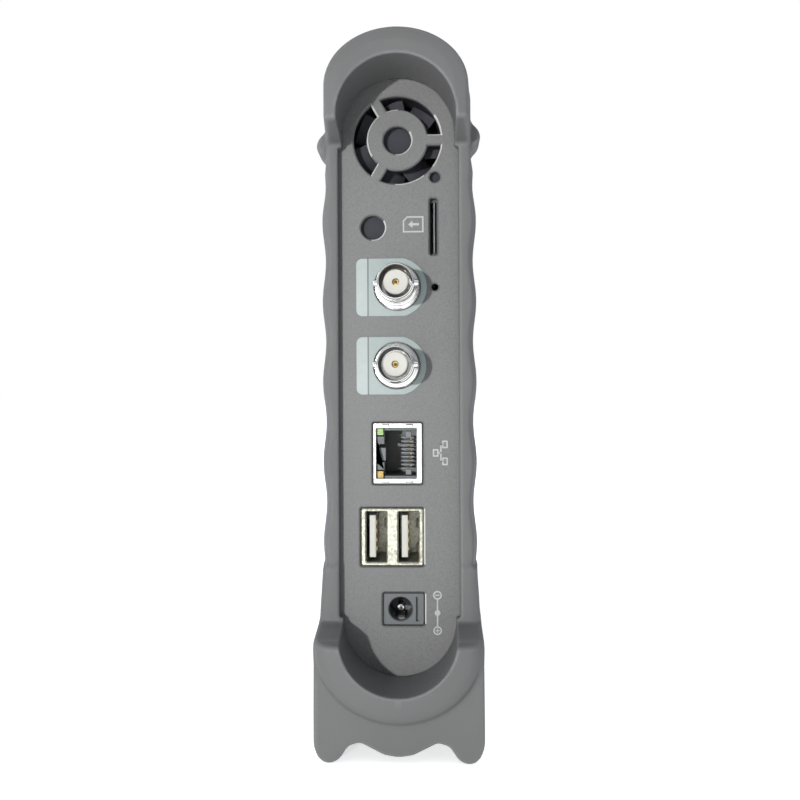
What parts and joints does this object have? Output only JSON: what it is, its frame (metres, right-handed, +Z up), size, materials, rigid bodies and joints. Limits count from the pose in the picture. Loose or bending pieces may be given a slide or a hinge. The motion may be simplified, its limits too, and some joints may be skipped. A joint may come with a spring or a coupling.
{
  "type": "portable vector network analyzer",
  "caption": "Handheld network analyzer in a rubber boot: display and keys in front, kickstand and battery behind, data, power and trigger sockets on one end, test ports on the other.",
  "frame": {"origin": "on the table under the middle of the boot", "axes": "+Z up, +X towards the end with the data, trigger and power sockets, -Y towards the side that the display faces"},
  "size_m": [0.264, 0.0426, 0.18],
  "materials": {
    "boot_rubber": "matte",
    "case_plastic": "fine texture",
    "panel_paint": "fine-grained powder coat",
    "display_glass": "gloss",
    "key_rubber": "matte",
    "board": "solder mask",
    "steel": "satin",
    "chrome": "bright",
    "gold": "gold plate",
    "white_plastic": "satin",
    "black_plastic": "satin",
    "label_print": "satin",
    "green_lens": "clear",
    "yellow_lens": "clear",
    "battery_wrap": "satin",
    "shield_aluminium": "milled"
  },
  "bodies": {
    "instrument": {"battery_cover": "case_plastic", "battery_pack": "battery_wrap", "bnc_1_contact": "gold", "bnc_1_insulator": "white_plastic", "bnc_1_label": "label_print", "bnc_1_shell": "chrome", "bnc_2_contact": "gold", "bnc_2_insulator": "white_plastic", "bnc_2_label": "label_print", "bnc_2_shell": "chrome", "card_socket": "steel", "case_screw_1": "steel", "case_screw_2": "steel", "case_screw_3": "steel", "case_screw_4": "steel", "connector_panel": "panel_paint", "cover_screw_left": "steel", "cover_screw_right": "steel", "dc_jack_body": "black_plastic", "dc_jack_pin": "gold", "display_gasket": "black_plastic", "display_glass": "display_glass", "fan_frame": "black_plastic", "front_case": "case_plastic", "io_board": "board", "keypad_board": "board", "lan_insert": "black_plastic", "lan_led_lower": "yellow_lens", "lan_led_upper": "green_lens", "lan_shield": "steel", "lcd_module": "black_plastic", "main_board": "board", "port_1_contact": "gold", "port_1_insulator": "white_plastic", "port_1_nut": "steel", "port_1_shell": "steel", "port_2_contact": "gold", "port_2_insulator": "white_plastic", "port_2_nut": "steel", "port_2_shell": "steel", "port_panel": "panel_paint", "rear_case": "case_plastic", "rf_board": "board", "rf_shield": "shield_aluminium", "rubber_boot": "boot_rubber", "stand_pin_left": "steel", "stand_pin_right": "steel", "usb_shell": "steel", "usb_tongue_front": "white_plastic", "usb_tongue_rear": "white_plastic"},
    "kickstand": {"kickstand": "case_plastic"},
    "fan_rotor": {"fan_rotor": "black_plastic"},
    "power_key": {"power_key": "key_rubber"},
    "function_key_1": {"function_key_1": "key_rubber"},
    "function_key_2": {"function_key_2": "key_rubber"},
    "function_key_3": {"function_key_3": "key_rubber"},
    "function_key_4": {"function_key_4": "key_rubber"},
    "function_key_5": {"function_key_5": "key_rubber"}
  },
  "joints": [
    {"name": "kickstand_hinge", "type": "hinge", "parent": "instrument", "child": "kickstand", "pos_m": [0, 0.0187, 0.118], "axis": [1, 0, 0], "range_deg": [0, 55]},
    {"name": "fan_spin", "type": "hinge", "parent": "instrument", "child": "fan_rotor", "pos_m": [0.1098, -0.0004, 0.1571], "axis": [1, 0, 0], "continuous": true},
    {"name": "function_key_1_press", "type": "slide", "parent": "instrument", "child": "function_key_1", "axis": [0, 1, 0], "range_m": [0, 0.0006], "stiffness_N_per_m": 400, "springref_m": -0.0004},
    {"name": "function_key_2_press", "type": "slide", "parent": "instrument", "child": "function_key_2", "axis": [0, 1, 0], "range_m": [0, 0.0006], "stiffness_N_per_m": 400, "springref_m": -0.0004},
    {"name": "function_key_3_press", "type": "slide", "parent": "instrument", "child": "function_key_3", "axis": [0, 1, 0], "range_m": [0, 0.0006], "stiffness_N_per_m": 400, "springref_m": -0.0004},
    {"name": "function_key_4_press", "type": "slide", "parent": "instrument", "child": "function_key_4", "axis": [0, 1, 0], "range_m": [0, 0.0006], "stiffness_N_per_m": 400, "springref_m": -0.0004},
    {"name": "function_key_5_press", "type": "slide", "parent": "instrument", "child": "function_key_5", "axis": [0, 1, 0], "range_m": [0, 0.0006], "stiffness_N_per_m": 400, "springref_m": -0.0004},
    {"name": "power_key_press", "type": "slide", "parent": "instrument", "child": "power_key", "axis": [0, 1, 0], "range_m": [0, 0.0006], "stiffness_N_per_m": 400, "springref_m": -0.0004}
  ]
}
